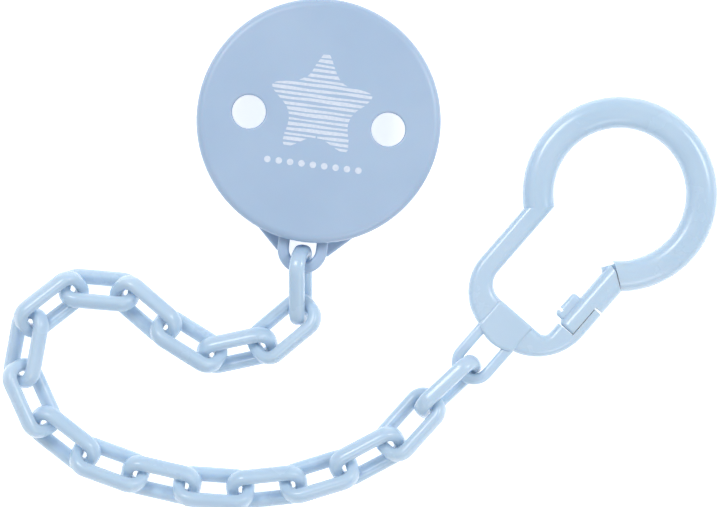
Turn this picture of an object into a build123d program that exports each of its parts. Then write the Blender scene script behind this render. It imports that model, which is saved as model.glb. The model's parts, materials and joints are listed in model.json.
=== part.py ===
from build123d import *
import copy
import math
import os

# A soother holder: a round garment clip, a chain of moulded links and a pear-shaped
# snap ring that takes the soother. It lies on a flat surface with the clip's printed
# face up. Millimetres, +Z up, surface at Z = 0, chain and ring spread over X and Y.

os.makedirs("parts", exist_ok=True)

# ---------------------------------------------------------------- driving sizes
# Clip, front shell
DISC_D = 40.6          # diameter of the round front
DISC_H = 5.2           # rim's lower edge to face
FACE_T = 1.6           # thickness of the face
RIM_T = 1.5            # thickness of the rim's wall
DISC_EDGE_R = 1.3      # rounding between face and rim
DISC_LIFT = 7.0        # surface to the rim's lower edge
VENT_D = 5.6           # the two air holes
VENT_SPACING = 23.3
VENT_EDGE_R = 0.35
CLIP_TURN = -7.3       # how the clip is turned on the surface, degrees

# Chain eye on the clip's rim
CLIP_EYE_W = 8.3       # across the eye
CLIP_EYE_WIRE = 1.9    # width of its bar
CLIP_EYE_T = 2.2       # height of its bar
CLIP_EYE_REACH = 5.3   # beyond the rim
EYE_EDGE_R = 0.6

# Clip, rear lever
LEVER_W = 17.6
LEVER_T = 1.8          # thickness of its plate
LEVER_JAW_END = 17.2   # from the disc's centre to the end with the teeth
LEVER_TAB_END = 22.2   # from the disc's centre to the end that the finger presses
LEVER_TAB_W = 8.6      # width of that end
LEVER_TAB_TAPER = 4.3  # length of the taper to it
LEVER_NOTCH_W = 6.0    # notch in that end, where the first link drops past it
LEVER_NOTCH_L = 4.4
LEVER_EDGE_R = 0.5
LEVER_CORNER_R = 1.2
GRIP_GROOVES = 4
GRIP_GROOVE_PITCH = 1.8
GRIP_GROOVE_D = 0.4
GRIP_GROOVE_W = 0.8
GRIP_GROOVE_L = 12.0
GRIP_GROOVE_START = 1.6   # from the notch to the first groove

# Jaws
JAW_W = 14.0
JAW_Y = 13.4           # from the disc's centre to the middle of the jaws
JAW_L = 4.8            # along the clip
JAW_Z = 6.0            # where the two rows of teeth meet
JAW_GAP = 0.35         # between the rows when the clip is shut
TOOTH_PITCH = 1.6
TOOTH_H = 0.8
TEETH = 3

# Clip hinge
HINGE_Y = -3.0
HINGE_Z = 4.6
PIN_D = 2.0
PIN_HEAD_D = 3.2
PIN_HEAD_T = 0.7
LUG_T = 1.8            # front shell's lugs
LUG_GAP = 8.2          # between them, for the spring
LUG_R = 2.3
EAR_T = 1.7            # lever's ears, outside the lugs
SIDE_GAP = 0.25        # between a lug and an ear
RUNNING_FIT = 0.05     # radial clearance of a pin that turns

# Clip spring
SPRING_WIRE = 0.7
SPRING_COIL_R = 1.8    # centreline radius of a coil
SPRING_COILS = 7
SPRING_PITCH = 0.66    # the coils lie close, so the solid is one piece
SPRING_LEG = 9.0

# One chain link
LINK_IN_L = 9.5        # inside length
LINK_IN_W = 3.8        # inside width
LINK_BAR = 2.1         # width of its bar in the link's plane
LINK_T = 2.6           # thickness across that plane
LINK_IN_R = 0.9        # inside corner radius
LINK_EDGE_R = 0.85
LINK_PLAY = 0.1        # between two links' bars where they rest in each other
LINK_SLOPE_L = 6.3     # length between seats for which the dips below are given

# Snap ring
RING_D = 32.7          # outside
RING_BAR = 5.25        # width of its bar in plan
RING_T = 4.6           # height of its bar
RING_ROUND = 2.1
NECK_IN = 6.9          # axis to the inside of the plain arm
ARM_BAR = 3.7          # width of the plain arm
BASE_IN = 26.5         # ring's centre to the inside of the base
BASE_BAR = 5.6         # thickness of the base along the axis
BASE_CORNER_R = 8.8    # outside corner on the plain arm's side
BASE_BEND_R = 10.0     # outside corner on the gate's side
BASE_INSIDE_R = 1.3    # inside corner beside the gate's end
ARM_BEND_R = 3.2       # inside corner between the base and the plain arm
BASE_ROUND = 1.2       # rounding of the bar's long edges
PAD_W = 7.4            # soft pad that carries the eye
PAD_PROUD = 0.25
PAD_BULGE = 0.9        # its outer side stands out in an arc
PAD_EDGE_R = 0.6
RING_EYE_W = 7.5
RING_EYE_WIRE = 1.8
RING_EYE_T = 2.0
RING_EYE_UP = 1.0      # eye's middle above the ring's
RING_EYE_REACH = 9.0   # beyond the base

# Gate of the snap ring
GATE_IN = 6.4          # axis to the inside of the gate
GATE_BAR = 4.5
GATE_END = 23.0        # ring's centre to the gate's free end
GATE_ROUND = 1.8
GATE_CLEAR = 0.15      # along the mitre at its root and along the lap
GATE_SWING = 20        # how far it opens, degrees; its root is relieved for that
PIVOT_ALONG = 1.9      # its pin, from the mitre's inner corner along the mitre
PIVOT_DEEP = 1.2       # and behind the mitre, in the ring's end
TONGUE_R = 1.25        # the gate's tongue round the pin
TONGUE_SLOT = 1.8      # slot for it in the ring's end
TONGUE_SLOT_R = 2.3
TONGUE_CLEAR = 0.1
GATE_PIN_D = 1.2
GATE_PIN_L = 3.4       # hidden: its ends are moulded in
LAP_T = 1.4            # nose of the base, outside the gate
LAP_START = 17.4       # ring's centre to the nose's tip
LAP_TIP_GAP = 0.35     # nose's tip to the step in the gate, which swings past it
CATCH_L = 4.8          # finger catch on the gate
CATCH_H = 1.5          # how far it stands in
CATCH_T = 2.4
CATCH_SLOT = 0.45
CATCH_INSET = 0.7      # gate's end to the catch
CATCH_EDGE_R = 0.7
GATE_END_R = 0.7       # rounding round the gate's free end

# How the chain lies: heading in degrees from +X, dip below level, and roll about
# the heading. Roll 90 stands a link on edge. The first link hangs in the clip's eye.
LINKS = [
    (270, 27, 78), (220, 7, -30), (192, 5, 50), (148, 1, -48), (139, 0, 47),
    (175, 1, -47), (218, -1, 47), (260, 0, -47), (294, 1, 46), (322, 0, -46),
    (340, 1, 45), (347, 0, -45), (356, 1, 45), (366, 0, -45), (377, 0, 45),
    (388, -1, -45), (408, 1, 36), (403, 0, -74),
]
RING_HEADING = 49      # the way the snap ring points from its eye


# ---------------------------------------------------------------- helpers
def box(x0, x1, y0, y1, z0, z1):
    """A block between two corners."""
    centre = ((x0 + x1) / 2, (y0 + y1) / 2, (z0 + z1) / 2)
    return Pos(*centre) * Box(abs(x1 - x0), abs(y1 - y0), abs(z1 - z0))


def rod(radius, start, end):
    """A round bar between two points."""
    start = Vector(*start)
    axis = Vector(*end) - start
    return Plane(start, z_dir=axis) * Cylinder(
        radius, axis.length, align=(Align.CENTER, Align.CENTER, Align.MIN)
    )


def flat_edges(solid):
    """The edges round a solid's flat faces that are square to Z."""
    return solid.faces().filter_by(Axis.Z).edges()


def eye(width, wire, height, reach, edge_r):
    """A U of bar lying flat, open to +X at X = 0, its round end at X = -reach."""
    outer = width / 2
    inner = outer - wire
    root = 0.6                       # buried in what carries the eye
    end_x = -reach + outer
    outline = Polyline((end_x, outer), (root, outer), (root, inner), (end_x, inner))
    outline += ThreePointArc((end_x, inner), (end_x - inner, 0), (end_x, -inner))
    outline += Polyline((end_x, -inner), (root, -inner), (root, -outer), (end_x, -outer))
    outline += ThreePointArc((end_x, -outer), (end_x - outer, 0), (end_x, outer))
    solid = extrude(make_face(outline), height / 2, both=True)
    return fillet([edge for edge in flat_edges(solid) if edge.center().X < root - 0.01], edge_r)


# ---------------------------------------------------------------- garment clip
# Modelled about the disc's centre, with its chain eye towards -Y.
FACE_Z = DISC_LIFT + DISC_H
CEILING_Z = FACE_Z - FACE_T
CLIP_EYE_Z = DISC_LIFT + CLIP_EYE_T / 2
LUG_OUT = LUG_GAP / 2 + LUG_T
EAR_IN = LUG_OUT + SIDE_GAP
EAR_OUT = EAR_IN + EAR_T
FIXED_JAW_Z = JAW_Z + JAW_GAP / 2 + TOOTH_H
MOVING_JAW_Z = JAW_Z - JAW_GAP / 2 - TOOTH_H


def add_teeth(solid, root_z, tip_z):
    """A row of ridges across the clip, from a jaw's flat at root_z out to tip_z."""
    for number in range(TEETH):
        middle = JAW_Y + (number - (TEETH - 1) / 2) * TOOTH_PITCH
        half = TOOTH_PITCH / 2
        buried = root_z + (root_z - tip_z) * 0.2
        outline = Polygon(
            (middle - half, buried),
            (middle - half, root_z),
            (middle, tip_z),
            (middle + half, root_z),
            (middle + half, buried),
            align=None,
        )
        solid += extrude(Plane.YZ * outline, JAW_W / 2, both=True)
    return solid


def build_clip_front():
    outer_r = DISC_D / 2
    shell = Pos(0, 0, DISC_LIFT + DISC_H / 2) * Cylinder(outer_r, DISC_H)
    shell = fillet(shell.edges().filter_by(GeomType.CIRCLE).sort_by(Axis.Z)[-1], DISC_EDGE_R)
    hollow_h = DISC_H - FACE_T
    shell -= Pos(0, 0, DISC_LIFT + hollow_h / 2) * Cylinder(outer_r - RIM_T, hollow_h)
    for side in (-1, 1):
        shell -= Pos(side * VENT_SPACING / 2, 0, FACE_Z) * Cylinder(VENT_D / 2, 4 * FACE_T)
    vent_rims = [
        edge
        for edge in shell.edges().filter_by(GeomType.CIRCLE)
        if abs(edge.radius - VENT_D / 2) < 0.01 and edge.center().Z > FACE_Z - 0.01
    ]
    shell = fillet(vent_rims, VENT_EDGE_R)

    # Fixed jaw: a block under the face with a row of teeth.
    jaw_y0 = JAW_Y - JAW_L / 2
    jaw_y1 = JAW_Y + JAW_L / 2
    shell += box(-JAW_W / 2, JAW_W / 2, jaw_y0, jaw_y1, FIXED_JAW_Z, CEILING_Z + FACE_T / 4)
    shell = add_teeth(shell, FIXED_JAW_Z, FIXED_JAW_Z - TOOTH_H)

    # Two lugs carry the hinge pin.
    for side in (-1, 1):
        x0 = side * LUG_GAP / 2
        x1 = side * LUG_OUT
        lug_top = CEILING_Z + FACE_T / 4
        shell += box(x0, x1, HINGE_Y - LUG_R, HINGE_Y + LUG_R, HINGE_Z, lug_top)
        shell += rod(LUG_R, (x0, HINGE_Y, HINGE_Z), (x1, HINGE_Y, HINGE_Z))
    bore_x = LUG_OUT + 1
    shell -= rod(PIN_D / 2, (-bore_x, HINGE_Y, HINGE_Z), (bore_x, HINGE_Y, HINGE_Z))

    chain_eye = eye(CLIP_EYE_W, CLIP_EYE_WIRE, CLIP_EYE_T, CLIP_EYE_REACH, EYE_EDGE_R)
    shell += Pos(0, -outer_r, CLIP_EYE_Z) * Rot(0, 0, 90) * chain_eye
    return shell


def build_clip_lever():
    tab_shoulder = -LEVER_TAB_END + LEVER_TAB_TAPER
    notch_y = -LEVER_TAB_END + LEVER_NOTCH_L
    plan = Polygon(
        (-LEVER_W / 2, LEVER_JAW_END),
        (-LEVER_W / 2, tab_shoulder),
        (-LEVER_TAB_W / 2, -LEVER_TAB_END),
        (-LEVER_NOTCH_W / 2, -LEVER_TAB_END),
        (-LEVER_NOTCH_W / 2, notch_y),
        (LEVER_NOTCH_W / 2, notch_y),
        (LEVER_NOTCH_W / 2, -LEVER_TAB_END),
        (LEVER_TAB_W / 2, -LEVER_TAB_END),
        (LEVER_W / 2, tab_shoulder),
        (LEVER_W / 2, LEVER_JAW_END),
        align=None,
    )
    corners = [vertex for vertex in plan.vertices() if abs(vertex.X) > LEVER_W / 2 - 0.01]
    plan = fillet(corners, LEVER_CORNER_R)
    lever = fillet(flat_edges(extrude(plan, LEVER_T)), LEVER_EDGE_R)

    # Moving jaw: a block with a row of teeth that face the fixed ones.
    jaw_y0 = JAW_Y - JAW_L / 2
    jaw_y1 = JAW_Y + JAW_L / 2
    lever += box(-JAW_W / 2, JAW_W / 2, jaw_y0, jaw_y1, LEVER_T / 2, MOVING_JAW_Z)
    lever = add_teeth(lever, MOVING_JAW_Z, MOVING_JAW_Z + TOOTH_H)

    # Two ears outside the front shell's lugs.
    for side in (-1, 1):
        x0 = side * EAR_IN
        x1 = side * EAR_OUT
        lever += box(x0, x1, HINGE_Y - LUG_R, HINGE_Y + LUG_R, LEVER_T / 2, HINGE_Z)
        lever += rod(LUG_R, (x0, HINGE_Y, HINGE_Z), (x1, HINGE_Y, HINGE_Z))
    bore_r = PIN_D / 2 + RUNNING_FIT
    bore_x = EAR_OUT + 1
    lever -= rod(bore_r, (-bore_x, HINGE_Y, HINGE_Z), (bore_x, HINGE_Y, HINGE_Z))

    # Grip grooves outside, across the end that the finger presses.
    for number in range(GRIP_GROOVES):
        y = notch_y + GRIP_GROOVE_START + number * GRIP_GROOVE_PITCH
        lever -= Pos(0, y, 0) * Box(GRIP_GROOVE_L, GRIP_GROOVE_W, 2 * GRIP_GROOVE_D)
    return lever


def build_clip_pin():
    tail_x = EAR_OUT + SIDE_GAP
    pin = rod(PIN_D / 2, (-tail_x, HINGE_Y, HINGE_Z), (tail_x, HINGE_Y, HINGE_Z))
    head_end = tail_x + PIN_HEAD_T
    pin += rod(PIN_HEAD_D / 2, (tail_x, HINGE_Y, HINGE_Z), (head_end, HINGE_Y, HINGE_Z))
    return pin


def build_clip_spring():
    """Close coils round the pin and two legs that push the finger end away."""
    wire_r = SPRING_WIRE / 2
    first_x = -(SPRING_COILS - 1) / 2 * SPRING_PITCH
    spring = None
    for number in range(SPRING_COILS):
        at = Plane((first_x + number * SPRING_PITCH, HINGE_Y, HINGE_Z), z_dir=(1, 0, 0))
        coil = at * Torus(SPRING_COIL_R, wire_r)
        spring = coil if spring is None else spring + coil
    # One leg lies under the face, the other on the lever's plate.
    for x, side, contact_z in (
        (first_x, 1, CEILING_Z - wire_r),
        (-first_x, -1, LEVER_T + wire_r),
    ):
        start_z = HINGE_Z + side * SPRING_COIL_R
        run = math.sqrt(SPRING_LEG ** 2 - (contact_z - start_z) ** 2)
        spring += rod(wire_r, (x, HINGE_Y, start_z), (x, HINGE_Y - run, contact_z))
    return spring


# ---------------------------------------------------------------- chain
LINK_L = LINK_IN_L + 2 * LINK_BAR
LINK_W = LINK_IN_W + 2 * LINK_BAR
LINK_SEAT = (LINK_BAR + LINK_T) / 2 - LINK_EDGE_R + LINK_PLAY
LINK_BAR_X = (LINK_IN_L + LINK_BAR) / 2            # link's centre to its end bar
LINK_SEAT_X = LINK_IN_L / 2 - LINK_SEAT            # link's centre to its neighbour's bar
SEAT_STEP = LINK_BAR_X - LINK_SEAT_X               # between the two bars of a joint


def build_link():
    """A link at the origin, in the XY plane, its length along X."""
    outline = RectangleRounded(LINK_L, LINK_W, LINK_IN_R + LINK_BAR)
    opening = RectangleRounded(LINK_IN_L, LINK_IN_W, LINK_IN_R)
    link = extrude(outline - opening, LINK_T / 2, both=True)
    return fillet(flat_edges(link), LINK_EDGE_R)


def link_axes(heading, dip, roll):
    """The way a link points, and the normal of its plane. A longer link drops no further."""
    turn = math.radians(heading)
    down = math.asin(math.sin(math.radians(dip)) * LINK_SLOPE_L / (2 * LINK_SEAT_X))
    lean = math.radians(roll)
    level = math.cos(down)
    forward = Vector(math.cos(turn) * level, math.sin(turn) * level, -math.sin(down))
    left = Vector(-math.sin(turn), math.cos(turn), 0)
    normal = forward.cross(left) * math.cos(lean) + left * math.sin(lean)
    return forward, normal


def step_direction(normal_a, normal_b, forward):
    """From one seat to the next: in both links' planes, and forward."""
    direction = normal_a.cross(normal_b).normalized()
    return direction if direction.dot(forward) > 0 else direction * -1


def lay_chain(eye_centre, eye_bar_r):
    """Each link's centre, pointing direction, normal and hinge point, in order."""
    placed = []
    seat = eye_centre
    step = eye_bar_r
    normal_before = Vector(0, 0, 1)
    forward_before = link_axes(*LINKS[0])[0]
    for shape in LINKS:
        forward, normal = link_axes(*shape)
        direction = step_direction(normal_before, normal, forward_before + forward)
        hinge = seat + direction * step
        centre = hinge + forward * LINK_SEAT_X
        placed.append((centre, forward, normal, hinge))
        seat = centre + forward * LINK_SEAT_X
        step = SEAT_STEP
        normal_before = normal
        forward_before = forward
    return placed, seat


# ---------------------------------------------------------------- snap ring
# Modelled about the ring's centre and mid-height, its eye towards -X and its gate
# on the -Y side.
RING_R_OUT = RING_D / 2
RING_R_IN = RING_R_OUT - RING_BAR
RING_R_MID = RING_R_OUT - RING_BAR / 2
ARM_OUT = NECK_IN + ARM_BAR
MITRE_IN_X = -math.sqrt(RING_R_IN ** 2 - NECK_IN ** 2)
MITRE_OUT_X = -math.sqrt(RING_R_OUT ** 2 - ARM_OUT ** 2)
GATE_OUT = GATE_IN + GATE_BAR
GATE_MID = GATE_IN + GATE_BAR / 2
ROOT_IN_X = -math.sqrt(RING_R_IN ** 2 - GATE_IN ** 2)
ROOT_OUT_X = -math.sqrt(RING_R_OUT ** 2 - GATE_OUT ** 2)
ROOT_WAY = Vector(ROOT_OUT_X - ROOT_IN_X, GATE_IN - GATE_OUT, 0).normalized()
ROOT = Plane((ROOT_IN_X, -GATE_IN, 0), x_dir=ROOT_WAY, z_dir=(0, 0, 1))
PIVOT_X, PIVOT_Y, _ = ROOT.from_local_coords((PIVOT_ALONG, PIVOT_DEEP, 0))
LAP_IN = GATE_OUT - LAP_T                # the nose's inner face
BASE_OUT = BASE_IN + BASE_BAR
RING_EYE_END = BASE_OUT + RING_EYE_REACH
RING_SEAT_X = -(RING_EYE_END - RING_EYE_WIRE / 2 - SEAT_STEP)


def build_ring_loop():
    """The round part, from the plain arm's mitre round to the gate's."""
    section = Plane.XZ * Pos(RING_R_MID, 0) * RectangleRounded(RING_BAR, RING_T, RING_ROUND)
    loop = revolve(section, Axis.Z, 360)
    far = 2 * RING_R_OUT
    past_x = MITRE_OUT_X + (MITRE_OUT_X - MITRE_IN_X) * 2
    past_y = ARM_OUT + (ARM_OUT - NECK_IN) * 2
    mouth = Polygon(
        (0, 0),
        (MITRE_IN_X, NECK_IN),
        (past_x, past_y),
        (-far, far),
        (-far, -far),
        (ROOT_OUT_X + (ROOT_OUT_X - ROOT_IN_X) * 2, -GATE_OUT - GATE_BAR * 2),
        (ROOT_IN_X, -GATE_IN),
        align=None,
    )
    loop -= extrude(mouth, RING_T, both=True)
    loop -= Pos(PIVOT_X, PIVOT_Y, 0) * Cylinder(TONGUE_SLOT_R, TONGUE_SLOT)
    loop -= Pos(PIVOT_X, PIVOT_Y, 0) * Cylinder(GATE_PIN_D / 2, GATE_PIN_L)
    return loop


def build_ring_body():
    # Plain arm, base and the nose that laps the gate's end, in one bent bar.
    gate_room = GATE_END + GATE_CLEAR
    corners = (
        (MITRE_OUT_X, ARM_OUT, 0),
        (-BASE_OUT, ARM_OUT, BASE_CORNER_R),
        (-BASE_OUT, -GATE_OUT, BASE_BEND_R),
        (-LAP_START, -GATE_OUT, 0),
        (-LAP_START, -LAP_IN, 0),
        (-gate_room, -LAP_IN, 0),
        (-gate_room, -GATE_IN, 0),
        (-BASE_IN, -GATE_IN, BASE_INSIDE_R),
        (-BASE_IN, NECK_IN, ARM_BEND_R),
        (MITRE_IN_X, NECK_IN, 0),
    )
    plan = Polygon(*[(x, y) for x, y, _ in corners], align=None)
    for x, y, radius in corners:
        if radius > 0:
            plan = fillet(plan.vertices().sort_by_distance((x, y, 0))[0], radius)
    bar = extrude(plan, RING_T / 2, both=True)
    skip_x = -gate_room - BASE_ROUND
    mitre_y = (NECK_IN + ARM_OUT) / 2
    round_edges = [
        edge
        for edge in flat_edges(bar)
        if (edge.center().Y > 0 and abs(edge.center().Y - mitre_y) > 0.01)
        or edge.center().X < skip_x
        or abs(edge.center().Y + GATE_OUT) < 0.01
    ]
    bar = fillet(round_edges, BASE_ROUND)
    body = build_ring_loop() + bar

    # Soft pad that carries the eye.
    pad_side = PAD_W / 2
    shoulder_x = -BASE_OUT + PAD_PROUD
    outline = Polyline(
        (shoulder_x, pad_side), (-BASE_IN, pad_side), (-BASE_IN, -pad_side), (shoulder_x, -pad_side)
    )
    outline += ThreePointArc(
        (shoulder_x, -pad_side), (-BASE_OUT - PAD_BULGE, 0), (shoulder_x, pad_side)
    )
    pad = extrude(make_face(outline), RING_T / 2 + PAD_PROUD, both=True)
    body += fillet(pad.edges(), PAD_EDGE_R)
    ring_eye = eye(RING_EYE_W, RING_EYE_WIRE, RING_EYE_T, RING_EYE_REACH, EYE_EDGE_R)
    return body + Pos(-BASE_OUT, 0, RING_EYE_UP) * ring_eye


def build_ring_gate():
    """Straight gate, from its tongue in the ring's end to its own end behind the nose."""
    section = Plane.YZ * Pos(-GATE_MID, 0) * RectangleRounded(GATE_BAR, RING_T, GATE_ROUND)
    gate = Pos(-GATE_END, 0, 0) * extrude(section, GATE_END)
    gate = fillet(gate.faces().sort_by(Axis.X)[0].edges(), GATE_END_R)
    # Its root follows the ring's end, shut and open.
    far = 2 * RING_R_OUT
    ring_side = ROOT * Pos(0, far / 2 - GATE_CLEAR, 0) * Box(2 * far, far, far)
    about_pivot = Pos(PIVOT_X, PIVOT_Y, 0) * Rot(0, 0, GATE_SWING) * Pos(-PIVOT_X, -PIVOT_Y, 0)
    gate -= ring_side
    gate -= about_pivot * ring_side
    # Room for the nose of the base.
    lap_tip = LAP_START - LAP_TIP_GAP
    lap_face = LAP_IN - GATE_CLEAR
    gate -= box(-GATE_END - 1, -lap_tip, -GATE_OUT - 1, -lap_face, -RING_T, RING_T)
    # Tongue round the pin, in the ring's slot.
    tongue_t = TONGUE_SLOT - 2 * TONGUE_CLEAR
    tongue_l = PIVOT_DEEP + TONGUE_SLOT_R
    gate += Pos(PIVOT_X, PIVOT_Y, 0) * Cylinder(TONGUE_R, tongue_t)
    gate += ROOT * Pos(PIVOT_ALONG, PIVOT_DEEP - tongue_l / 2, 0) * Box(
        2 * TONGUE_R - 0.1, tongue_l, tongue_t - 0.1
    )
    gate -= Pos(PIVOT_X, PIVOT_Y, 0) * Cylinder(GATE_PIN_D / 2 + RUNNING_FIT, 2 * RING_T)
    # Finger catch inside, with a fine slot across it.
    catch_x = -GATE_END + CATCH_INSET + CATCH_L / 2
    catch = Pos(catch_x, -GATE_IN, 0) * Box(CATCH_L, 2 * CATCH_H, CATCH_T)
    gate += fillet(catch.edges(), CATCH_EDGE_R)
    slot_x = catch_x - CATCH_L / 4
    gate -= Pos(slot_x, -GATE_IN + CATCH_H, 0) * Box(CATCH_SLOT, CATCH_H, 2 * CATCH_T)
    return gate


def build_gate_pin():
    return Pos(PIVOT_X, PIVOT_Y, 0) * Cylinder(GATE_PIN_D / 2, GATE_PIN_L)


# ---------------------------------------------------------------- where things lie
CLIP_PLACE = Rot(0, 0, CLIP_TURN)
eye_arc_y = -(DISC_D / 2 + CLIP_EYE_REACH) + CLIP_EYE_W / 2
eye_bar_r = (CLIP_EYE_W - CLIP_EYE_WIRE) / 2
turn = math.radians(CLIP_TURN)
eye_arc = Vector(-eye_arc_y * math.sin(turn), eye_arc_y * math.cos(turn), CLIP_EYE_Z)
links, last_seat = lay_chain(eye_arc, eye_bar_r)
last_forward, last_normal = links[-1][1:3]
ring_forward = Vector(
    math.cos(math.radians(RING_HEADING)), math.sin(math.radians(RING_HEADING)), 0
)
ring_step = step_direction(last_normal, Vector(0, 0, 1), last_forward + ring_forward)
ring_hinge = last_seat + ring_step * SEAT_STEP
ring_centre = ring_hinge - ring_forward * RING_SEAT_X
ring_centre.Z = RING_T / 2 + PAD_PROUD
RING_PLACE = Pos(*ring_centre) * Rot(0, 0, RING_HEADING)

nodes = {
    "clip_front": CLIP_PLACE * build_clip_front(),
    "clip_lever": CLIP_PLACE * build_clip_lever(),
    "clip_pin": CLIP_PLACE * build_clip_pin(),
    "clip_spring": CLIP_PLACE * build_clip_spring(),
}
link = build_link()
for number, (centre, forward, normal, hinge) in enumerate(links, start=1):
    nodes[f"chain_link_{number:02d}"] = Plane(centre, x_dir=forward, z_dir=normal) * link
nodes["clasp_body"] = RING_PLACE * build_ring_body()
nodes["clasp_gate"] = RING_PLACE * build_ring_gate()
nodes["clasp_gate_pin"] = RING_PLACE * build_gate_pin()

# The part's origin is the middle of its footprint, on the surface.
bounds = Compound(children=[copy.copy(solid) for solid in nodes.values()]).bounding_box()
SHIFT = Vector(
    -(bounds.min.X + bounds.max.X) / 2, -(bounds.min.Y + bounds.max.Y) / 2, -bounds.min.Z
)
for name, solid in nodes.items():
    export_step(Pos(*SHIFT) * solid, f"parts/{name}.step")
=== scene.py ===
import json
import math

import bmesh
import bpy
from mathutils import Matrix, Vector


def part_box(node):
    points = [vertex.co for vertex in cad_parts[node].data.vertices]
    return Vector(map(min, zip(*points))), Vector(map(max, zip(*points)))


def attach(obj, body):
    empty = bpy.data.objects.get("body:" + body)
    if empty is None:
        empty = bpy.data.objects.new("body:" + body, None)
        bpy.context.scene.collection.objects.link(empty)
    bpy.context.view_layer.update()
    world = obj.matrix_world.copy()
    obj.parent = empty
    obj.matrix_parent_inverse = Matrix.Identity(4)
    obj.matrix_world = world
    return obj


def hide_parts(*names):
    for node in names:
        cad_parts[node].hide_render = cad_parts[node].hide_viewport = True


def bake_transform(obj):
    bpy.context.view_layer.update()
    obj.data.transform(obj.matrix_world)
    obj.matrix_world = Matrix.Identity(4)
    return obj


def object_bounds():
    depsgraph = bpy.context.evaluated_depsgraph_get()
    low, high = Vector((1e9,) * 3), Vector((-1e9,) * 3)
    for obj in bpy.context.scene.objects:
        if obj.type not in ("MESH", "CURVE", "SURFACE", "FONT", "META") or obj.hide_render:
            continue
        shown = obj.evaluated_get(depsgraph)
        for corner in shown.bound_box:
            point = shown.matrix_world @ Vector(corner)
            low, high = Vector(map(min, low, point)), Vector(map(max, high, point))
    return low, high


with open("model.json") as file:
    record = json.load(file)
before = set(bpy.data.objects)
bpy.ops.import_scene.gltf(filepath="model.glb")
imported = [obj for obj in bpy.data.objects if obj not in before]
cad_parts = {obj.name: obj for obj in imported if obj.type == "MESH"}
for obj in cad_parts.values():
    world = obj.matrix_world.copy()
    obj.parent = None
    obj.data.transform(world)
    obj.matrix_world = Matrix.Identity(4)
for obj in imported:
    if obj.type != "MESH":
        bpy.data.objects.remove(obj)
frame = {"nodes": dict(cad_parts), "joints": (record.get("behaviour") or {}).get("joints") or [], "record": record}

cad_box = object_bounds()
record = frame["record"]
nodes = frame["nodes"]
joints = {joint["name"]: joint for joint in frame["joints"]}

MM = 0.001
UP = Vector((0, 0, 1))
ALONG_X = Vector((1, 0, 0))

# Materials. The ranges are the parts of a noise pattern that a colour and a number run over.
COLOUR_RANGE = (0.35, 0.65)
VALUE_RANGE = (0.3, 0.7)
MOTTLE = 70                      # scale of the noise in the colour, unless a material sets its own
GLOSS_MOTTLE = 160               # scale of the noise in the roughness
BUMP_STRENGTH = 0.25

# Chain links. A squareness of 2 would be a round bar, and more is squarer.
LINK_BAR = 2.1 * MM
LINK_CORNER_R = 2.25 * MM        # at the middle of the bar
LINK_SQUARENESS = 2.7
PARTING_LINE = 0.03 * MM         # how far the mould's parting line stands proud
LINK_CORNER_STEPS = 12
LINK_STRAIGHT_STEP = 0.7 * MM
LINK_BAR_SIDES = 28

# Print on the disc, in the clip's own x and y from the middle of the disc.
PRINT_T = 0.02 * MM
STAR_AT = Vector((0, 2.4 * MM))
STAR_POINTS = 5
STAR_R = 10.1 * MM
STAR_NOTCH_R = 4.8 * MM
STAR_TIP_CUT = 2.9 * MM          # from a tip to where its curve starts
STAR_NOTCH_CUT = 0.8 * STAR_TIP_CUT
STAR_CORNER_STEPS = 8
STAR_FOOT_GAP = 0.15 * MM
STAR_HEAD_GAP = 0.2 * MM
STRIPE_PITCH = 0.84 * MM
STRIPE_H = 0.48 * MM
STRIPE_H_VARIES = 0.06 * MM
STRIPE_STRAY = 0.06 * MM         # how far a hand-drawn edge leaves a straight line
LOW_EDGE_WAVES = (2.6 * MM, 1.1 * MM)      # a long wave and a short one along each edge
HIGH_EDGE_WAVES = (2.2 * MM, 0.9 * MM)
STRIPE_BANDS = 3                 # rows of faces in a stripe
STRIPE_STEPS = 24                # faces in a row
DOTS = 9
DOT_R = 0.55 * MM
DOT_PITCH = 1.9 * MM
DOTS_Y = -7.4 * MM
DOT_SIDES = 24

# Clip spring, in the clip's own directions from the hinge.
WIRE_R = 0.35 * MM
WIRE_SIDES = 12
COIL_R = 1.8 * MM
COIL_HALF_W = 2.0 * MM
COIL_TURNS = 5.5
COIL_STEPS = 28                  # in one turn
LEG_STEPS = 6
FRONT_LEG_Y = -8.1 * MM          # where the two legs end
LEVER_LEG_Y = -9.0 * MM
LEVER_TOP_Z = -2.8 * MM          # upper side of the lever's plate

# Studio
FLOOR_GAP = 0.02 * MM            # under the object's lowest point
FLOOR_HALF_W = 3
WORLD_COLOUR = (0.97, 0.98, 1.0, 1)
WORLD_STRENGTH = 0.5
CAMERA_Y = 0.0003                # the picture's middle is a little above the object's
CAMERA_Z = 0.75
SENSOR_W = 36
VIEW_Z = 0.004                   # height in the object where the picture is VIEW_W wide
VIEW_W = 0.1206

# The clip's own x runs along its hinge, and its y from the lever's tab to the jaws.
hinge = Vector(joints["lever_open"]["pos_m"])
axis_x = -Vector(joints["lever_open"]["axis"])
clip_turn = Matrix((axis_x, UP.cross(axis_x), UP)).transposed().to_4x4()


# ---------------------------------------------------------------- material nodes
def noise(tree, coords, scale, detail):
    """A noise pattern, as numbers round a half."""
    pattern = tree.nodes.new("ShaderNodeTexNoise")
    pattern.inputs["Scale"].default_value = scale
    pattern.inputs["Detail"].default_value = detail
    tree.links.new(coords, pattern.inputs["Vector"])
    return pattern.outputs["Fac"]


def varied_colour(tree, pattern, low, high):
    """A colour that runs from low to high with a pattern."""
    ramp = tree.nodes.new("ShaderNodeValToRGB")
    for stop, position, colour in zip(ramp.color_ramp.elements, COLOUR_RANGE, (low, high)):
        stop.position = position
        stop.color = (*colour, 1)
    tree.links.new(pattern, ramp.inputs["Fac"])
    return ramp.outputs["Color"]


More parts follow.
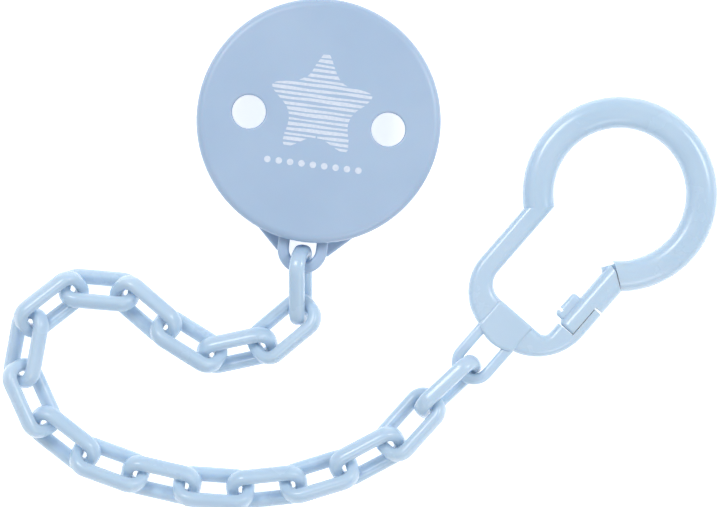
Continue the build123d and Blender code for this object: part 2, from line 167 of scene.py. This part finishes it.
def varied_value(tree, pattern, low, high):
    """A number that runs from low to high with a pattern."""
    span = tree.nodes.new("ShaderNodeMapRange")
    span.inputs["From Min"].default_value = VALUE_RANGE[0]
    span.inputs["From Max"].default_value = VALUE_RANGE[1]
    span.inputs["To Min"].default_value = low
    span.inputs["To Max"].default_value = high
    tree.links.new(pattern, span.inputs["Value"])
    return span.outputs["Result"]


def relief(tree, pattern, depth):
    """A surface direction that a pattern makes slightly rough."""
    bump = tree.nodes.new("ShaderNodeBump")
    bump.inputs["Strength"].default_value = BUMP_STRENGTH
    bump.inputs["Distance"].default_value = depth
    tree.links.new(pattern, bump.inputs["Height"])
    return bump.outputs["Normal"]


def surface(name, colours, roughness, grain, grain_depth, mottle=MOTTLE, **fixed):
    """A material whose colour, roughness and relief all vary a little.

    mottle and grain are the noise scales of the colour and of the relief. fixed names the
    shader's sockets that are the same all over, with _ for a space.
    """
    material = bpy.data.materials.new(name)
    material.use_nodes = True
    tree = material.node_tree
    sockets = tree.nodes["Principled BSDF"].inputs
    coords = tree.nodes.new("ShaderNodeTexCoord").outputs["Object"]
    colour = varied_colour(tree, noise(tree, coords, scale=mottle, detail=3), *colours)
    rough = varied_value(tree, noise(tree, coords, scale=GLOSS_MOTTLE, detail=4), *roughness)
    bumps = relief(tree, noise(tree, coords, scale=grain, detail=2), grain_depth)
    tree.links.new(colour, sockets["Base Color"])
    tree.links.new(rough, sockets["Roughness"])
    tree.links.new(bumps, sockets["Normal"])
    for socket, value in fixed.items():
        sockets[socket.replace("_", " ")].default_value = value
    return material


# ---------------------------------------------------------------- materials
CHAIN_PLASTIC = surface(
    "chain_plastic",
    colours=((0.465, 0.615, 0.765), (0.51, 0.65, 0.79)),
    roughness=(0.2, 0.3),
    grain=900,
    grain_depth=0.03 * MM,
    Subsurface_Weight=0.4,
    Subsurface_Radius=(0.5, 0.8, 1.0),
    Subsurface_Scale=1.2 * MM,
    Coat_Weight=0.2,
    Coat_Roughness=0.2,
)
CLIP_PLASTIC = surface(
    "clip_plastic",
    colours=((0.365, 0.492, 0.67), (0.392, 0.517, 0.69)),
    roughness=(0.3, 0.42),
    grain=700,
    grain_depth=0.04 * MM,
    Subsurface_Weight=0.15,
    Subsurface_Scale=1.0 * MM,
)
PRINT_WHITE = surface(
    "print_white",
    colours=((0.60, 0.67, 0.79), (0.68, 0.74, 0.85)),
    roughness=(0.45, 0.6),
    grain=2400,
    grain_depth=0.02 * MM,
    mottle=1800,
)
STEEL = surface(
    "spring_steel",
    colours=((0.42, 0.43, 0.45), (0.60, 0.61, 0.62)),
    roughness=(0.2, 0.35),
    grain=1500,
    grain_depth=0.02 * MM,
    Metallic=1.0,
)
FLOOR_PAPER = surface(
    "floor_paper",
    colours=((0.90, 0.90, 0.90), (0.93, 0.93, 0.93)),
    roughness=(0.7, 0.85),
    grain=400,
    grain_depth=0.02 * MM,
    mottle=8,
    Emission_Color=(1, 1, 1, 1),
    Emission_Strength=0.62,
)


# ---------------------------------------------------------------- helpers
def place_object(name, data):
    """A new object in the scene."""
    placed = bpy.data.objects.new(name, data)
    bpy.context.scene.collection.objects.link(placed)
    return placed


def finished_mesh(made, name, material):
    """A mesh from a bmesh, which is freed."""
    mesh = bpy.data.meshes.new(name)
    made.to_mesh(mesh)
    made.free()
    mesh.materials.append(material)
    return mesh


def circle_angles(count):
    """Evenly spaced angles round a full turn."""
    return [2 * math.pi * step / count for step in range(count)]


def tube(name, rings, material, closed):
    """A smooth mesh through rings of points, capped at both ends unless closed."""
    made = bmesh.new()
    loops = [[made.verts.new(point) for point in ring] for ring in rings]
    following = loops[1:]
    if closed:
        following.append(loops[0])
    for near, far in zip(loops, following):
        for side in range(len(near)):
            after = (side + 1) % len(near)
            made.faces.new((near[side], near[after], far[after], far[side]))
    if not closed:
        made.faces.new(list(reversed(loops[0])))
        made.faces.new(loops[-1])
    bmesh.ops.recalc_face_normals(made, faces=made.faces)
    for face in made.faces:
        face.smooth = True
    return finished_mesh(made, name, material)


# ---------------------------------------------------------------- chain links
def long_direction(points, normal):
    """The direction across normal in which the points spread most."""
    side = normal.orthogonal().normalized()
    across = normal.cross(side)
    mean = sum(points, Vector()) / len(points)
    xs = [(point - mean).dot(side) for point in points]
    ys = [(point - mean).dot(across) for point in points]
    spread_x = sum(x ** 2 for x in xs)
    spread_y = sum(y ** 2 for y in ys)
    spread_xy = sum(x * y for x, y in zip(xs, ys))
    lean = 0.5 * math.atan2(2 * spread_xy, spread_x - spread_y)
    return side * math.cos(lean) + across * math.sin(lean)


def link_place(node, normal):
    """Where a CAD link lies, as a matrix, and its length, width and thickness."""
    points = [vertex.co for vertex in nodes[node].data.vertices]
    along = long_direction(points, normal)
    axes = (along, normal.cross(along), normal)
    middle = Vector()
    sizes = []
    for axis in axes:
        reach = [point.dot(axis) for point in points]
        middle += axis * (min(reach) + max(reach)) / 2
        sizes.append(max(reach) - min(reach))
    turn = Matrix(axes).transposed().to_4x4()
    return Matrix.Translation(middle) @ turn, sizes


def link_path(half_l, half_w):
    """Points along the middle of a link's bar, each with its direction out of the link.

    half_l and half_w are the distances from the link's middle to its corners' centres.
    """
    bends = []
    for centre_x, centre_y, start in (
        (half_l, half_w, 0),
        (-half_l, half_w, 90),
        (-half_l, -half_w, 180),
        (half_l, -half_w, 270),
    ):
        for step in range(LINK_CORNER_STEPS + 1):
            angle = math.radians(start + 90 * step / LINK_CORNER_STEPS)
            out = Vector((math.cos(angle), math.sin(angle), 0))
            bends.append((Vector((centre_x, centre_y, 0)) + out * LINK_CORNER_R, out))
    path = []
    for (point, out), (after, _) in zip(bends, bends[1:] + bends[:1]):
        path.append((point, out))
        parts = int((after - point).length / LINK_STRAIGHT_STEP)
        for part in range(1, parts):
            path.append((point.lerp(after, part / parts), out))
    return path


def bar_section(thick):
    """Points round a link's bar: how far out of the link, and how far up."""
    section = []
    power = 2 / LINK_SQUARENESS
    for step, angle in enumerate(circle_angles(LINK_BAR_SIDES)):
        c = math.cos(angle)
        s = math.sin(angle)
        out = math.copysign(abs(c) ** power, c) * (LINK_BAR / 2 - PARTING_LINE)
        rise = math.copysign(abs(s) ** power, s) * thick / 2
        # The parting line runs round the bar's outer and inner side, at half its height.
        if step in (0, LINK_BAR_SIDES // 2):
            out = math.copysign(LINK_BAR / 2, c)
        section.append((out, rise))
    return section


def link_mesh(length, width, thick):
    """A closed bar round a long rounded rectangle, with the mould's parting line."""
    half_l = (length - LINK_BAR) / 2 - LINK_CORNER_R
    half_w = (width - LINK_BAR) / 2 - LINK_CORNER_R
    section = bar_section(thick)
    rings = []
    for point, out in link_path(half_l, half_w):
        rings.append([point + out * across + UP * rise for across, rise in section])
    return tube("link", rings, CHAIN_PLASTIC, closed=True)


def add_links():
    """The moulded links: one mesh, copied to where each CAD link lies."""
    shared = None
    for node in sorted(name for name in nodes if name.startswith("chain_link_")):
        number = node.removeprefix("chain_link_")
        # A link swings about its own normal.
        normal = Vector(joints[f"link_{number}_swing"]["axis"]).normalized()
        where, sizes = link_place(node, normal)
        if shared is None:
            shared = link_mesh(*sizes)
        mesh = shared.copy()
        mesh.transform(where)
        piece = place_object(f"moulded_link_{number}", mesh)
        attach(piece, f"link_{number}")
        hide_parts(node)


# ---------------------------------------------------------------- print on the disc
def star_outline():
    """Points of a star whose tips and notches are soft curves."""
    corners = []
    for index in range(2 * STAR_POINTS):
        reach = STAR_NOTCH_R if index % 2 else STAR_R
        angle = math.radians(90 + 180 / STAR_POINTS * index)
        corners.append(Vector((reach * math.cos(angle), reach * math.sin(angle))))
    outline = []
    for index, corner in enumerate(corners):
        cut = STAR_NOTCH_CUT if index % 2 else STAR_TIP_CUT
        before = corners[index - 1]
        after = corners[(index + 1) % len(corners)]
        start = corner + (before - corner).normalized() * cut
        end = corner + (after - corner).normalized() * cut
        for step in range(STAR_CORNER_STEPS + 1):
            t = step / STAR_CORNER_STEPS
            outline.append(start * (1 - t) ** 2 + corner * 2 * t * (1 - t) + end * t ** 2)
    return outline


def spans_at(outline, y):
    """Where a level line at y is inside the outline."""
    crossings = []
    for point, after in zip(outline, outline[1:] + outline[:1]):
        if (point.y > y) != (after.y > y):
            share = (y - point.y) / (after.y - point.y)
            crossings.append(point.x + share * (after.x - point.x))
    crossings.sort()
    return list(zip(crossings[::2], crossings[1::2]))


def two_waves(x, lengths, long_phase, short_phase):
    """A long wave with a short one of half its height on it."""
    long, short = lengths
    return math.sin(x / long + long_phase) + 0.5 * math.sin(x / short + short_phase)


def stripe_stray(x, number, part):
    """How far a stripe strays at x, from its lower edge (part 0) to its upper (part 1).

    Its number shifts the waves, so no two stripes are the same.
    """
    low = two_waves(x, LOW_EDGE_WAVES, number * 1.7, number)
    high = two_waves(x, HIGH_EDGE_WAVES, number * 2.1 + 1, -number)
    return STRIPE_STRAY * (low * (1 - part) + high * part)


def add_patch(made, lines):
    """Faces between lines of points, which all have the same number of points."""
    rows = [[made.verts.new(point) for point in line] for line in lines]
    for low, high in zip(rows, rows[1:]):
        for step in range(len(low) - 1):
            made.faces.new((low[step], low[step + 1], high[step + 1], high[step]))


def add_stripe(made, star, number, foot):
    """One level stripe, with its lower edge at foot, in a patch for each span of the star."""
    uneven = math.sin(number * 2.3)
    tall = STRIPE_H + STRIPE_H_VARIES * uneven
    parts = [band / STRIPE_BANDS for band in range(STRIPE_BANDS + 1)]
    heights = [foot + tall * part for part in parts]
    spans = [spans_at(star, height) for height in heights]
    # Where the star divides within a stripe, the most divided level holds for all of it.
    if len({len(row) for row in spans}) > 1:
        spans = [max(spans, key=len)] * len(spans)
    for patch in zip(*spans):
        lines = []
        for part, height, (left, right) in zip(parts, heights, patch):
            line = []
            for step in range(STRIPE_STEPS + 1):
                x = left + (right - left) * step / STRIPE_STEPS
                y = height + stripe_stray(x, number, part)
                line.append((x + STAR_AT.x, y + STAR_AT.y, PRINT_T))
            lines.append(line)
        add_patch(made, lines)


def add_star(made):
    """A star drawn in stripes."""
    star = star_outline()
    foot = min(point.y for point in star) + STAR_FOOT_GAP
    last = max(point.y for point in star) - STAR_HEAD_GAP
    number = 0
    while foot < last:
        add_stripe(made, star, number, foot)
        foot += STRIPE_PITCH
        number += 1


def add_dots(made):
    """A plain row of dots under the star."""
    for index in range(DOTS):
        middle_x = (index - (DOTS - 1) / 2) * DOT_PITCH
        ring = []
        for angle in circle_angles(DOT_SIDES):
            x = middle_x + DOT_R * math.cos(angle)
            y = DOTS_Y + DOT_R * math.sin(angle)
            ring.append(made.verts.new((x, y, PRINT_T)))
        made.faces.new(ring)


def add_print():
    """The print: a thin layer on the clip's face, centred between its two vents."""
    made = bmesh.new()
    add_star(made)
    add_dots(made)
    vents = [mount for mount in record["mounts"] if mount["name"].startswith("vent")]
    first, second = (Vector(vent["pos_m"]) for vent in vents)
    middle = (first + second) / 2
    middle.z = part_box("clip_front")[1].z
    piece = place_object("face_print", finished_mesh(made, "print", PRINT_WHITE))
    piece.matrix_world = Matrix.Translation(middle) @ clip_turn
    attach(piece, "clip")
    layer = piece.modifiers.new("thickness", "SOLIDIFY")
    layer.thickness = PRINT_T * 2
    layer.offset = -1


# ---------------------------------------------------------------- clip spring
def spring_path(top_z):
    """The middle of the wire: a leg under the front, the coil, and a leg on the lever."""
    front_end = Vector((-COIL_HALF_W, FRONT_LEG_Y, top_z - WIRE_R))
    coil_start = Vector((-COIL_HALF_W, 0, COIL_R))
    coil_end = Vector((COIL_HALF_W, 0, -COIL_R))
    lever_end = Vector((COIL_HALF_W, LEVER_LEG_Y, LEVER_TOP_Z + WIRE_R))
    path = [front_end.lerp(coil_start, step / LEG_STEPS) for step in range(LEG_STEPS)]
    steps = round(COIL_TURNS * COIL_STEPS)
    for step in range(steps + 1):
        angle = math.pi / 2 - 2 * math.pi * step / COIL_STEPS
        x = -COIL_HALF_W + 2 * COIL_HALF_W * step / steps
        path.append(Vector((x, COIL_R * math.cos(angle), COIL_R * math.sin(angle))))
    path += [coil_end.lerp(lever_end, step / LEG_STEPS) for step in range(1, LEG_STEPS + 1)]
    return path


def add_spring():
    """A helix of wire with two legs."""
    path = spring_path(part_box("clip_spring")[1].z - hinge.z)
    rings = []
    for index, point in enumerate(path):
        before = path[max(index - 1, 0)]
        after = path[min(index + 1, len(path) - 1)]
        ahead = (after - before).normalized()
        side = ahead.cross(ALONG_X).normalized()
        other = ahead.cross(side).normalized()
        ring = []
        for angle in circle_angles(WIRE_SIDES):
            out = side * math.cos(angle) + other * math.sin(angle)
            ring.append(clip_turn @ (point + WIRE_R * out) + hinge)
        rings.append(ring)
    spring = place_object("torsion_spring", tube("spring", rings, STEEL, closed=False))
    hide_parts("clip_spring")
    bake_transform(spring)


# ---------------------------------------------------------------- carried-over nodes
def paint(node, material):
    """Give a CAD node its material."""
    for place in nodes[node].material_slots:
        place.material = material
    if not nodes[node].material_slots:
        nodes[node].data.materials.append(material)


# ---------------------------------------------------------------- studio
def add_floor():
    """A pale floor just under the object."""
    made = bmesh.new()
    bmesh.ops.create_grid(made, x_segments=4, y_segments=4, size=FLOOR_HALF_W)
    floor = place_object("floor", finished_mesh(made, "floor", FLOOR_PAPER))
    floor.location.z = cad_box[0].z - FLOOR_GAP


def light_world():
    """An even, faintly cool light from all round."""
    world = bpy.data.worlds.new("studio")
    bpy.context.scene.world = world
    world.use_nodes = True
    background = world.node_tree.nodes["Background"].inputs
    background["Color"].default_value = WORLD_COLOUR
    background["Strength"].default_value = WORLD_STRENGTH


def soft_light(name, place, size, power):
    """A square light that faces the middle of the object."""
    lamp = bpy.data.lights.new(name, "AREA")
    lamp.shape = "RECTANGLE"
    lamp.size = size
    lamp.size_y = size
    lamp.energy = power
    light = place_object(name, lamp)
    light.location = place
    light.rotation_mode = "QUATERNION"
    light.rotation_quaternion = (Vector(place) * -1).to_track_quat("-Z", "Y")


def add_camera():
    """A camera that looks straight down, with a lens that makes the picture VIEW_W wide."""
    camera = place_object("camera", bpy.data.cameras.new("camera"))
    camera.location = (0, CAMERA_Y, CAMERA_Z)
    camera.data.sensor_width = SENSOR_W
    camera.data.lens = SENSOR_W * (CAMERA_Z - VIEW_Z) / VIEW_W
    camera.data.clip_start = 0.01
    camera.data.clip_end = 20
    bpy.context.scene.camera = camera


# ---------------------------------------------------------------- the scene
add_links()
add_print()
add_spring()
paint("clip_front", CLIP_PLASTIC)
paint("clip_lever", CLIP_PLASTIC)
paint("clip_pin", STEEL)
paint("clasp_body", CHAIN_PLASTIC)
paint("clasp_gate", CHAIN_PLASTIC)
paint("clasp_gate_pin", CHAIN_PLASTIC)

add_floor()
light_world()
soft_light("key", place=(-0.3, 0.35, 0.6), size=0.25, power=2.2)
soft_light("side", place=(0.45, 0.2, 0.5), size=0.2, power=1.4)
soft_light("fill", place=(0.2, -0.5, 0.5), size=0.3, power=0.8)
add_camera()
bpy.context.scene.view_settings.view_transform = "Standard"
